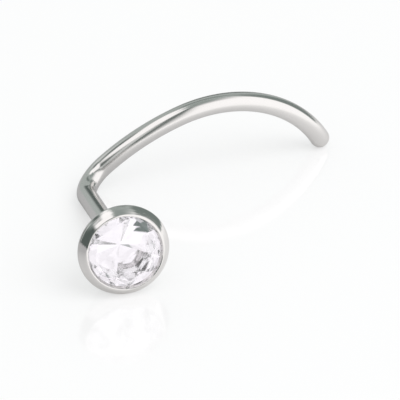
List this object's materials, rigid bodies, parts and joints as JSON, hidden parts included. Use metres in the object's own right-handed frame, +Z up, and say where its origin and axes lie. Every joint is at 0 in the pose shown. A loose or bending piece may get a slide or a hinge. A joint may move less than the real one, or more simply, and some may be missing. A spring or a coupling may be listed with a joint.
{
  "type": "nose stud",
  "caption": "Nose screw: a faceted round crystal in a bezel cup, with a straight post and a curled wire tail.",
  "frame": {"origin": "middle of the stud's box, on the surface that it rests on", "axes": "+Z up as it rests on the rim of its cup, its corner and its tip; +Y the way the post runs back from the crystal; +X the way the tail runs"},
  "size_m": [0.0126, 0.0102, 0.0036],
  "materials": {
    "polished_steel": "polished surgical steel",
    "crystal": "clear cut crystal with a foiled back"
  },
  "bodies": {
    "root": {"stud_metal": "polished_steel", "crystal": "crystal"}
  },
  "joints": []
}
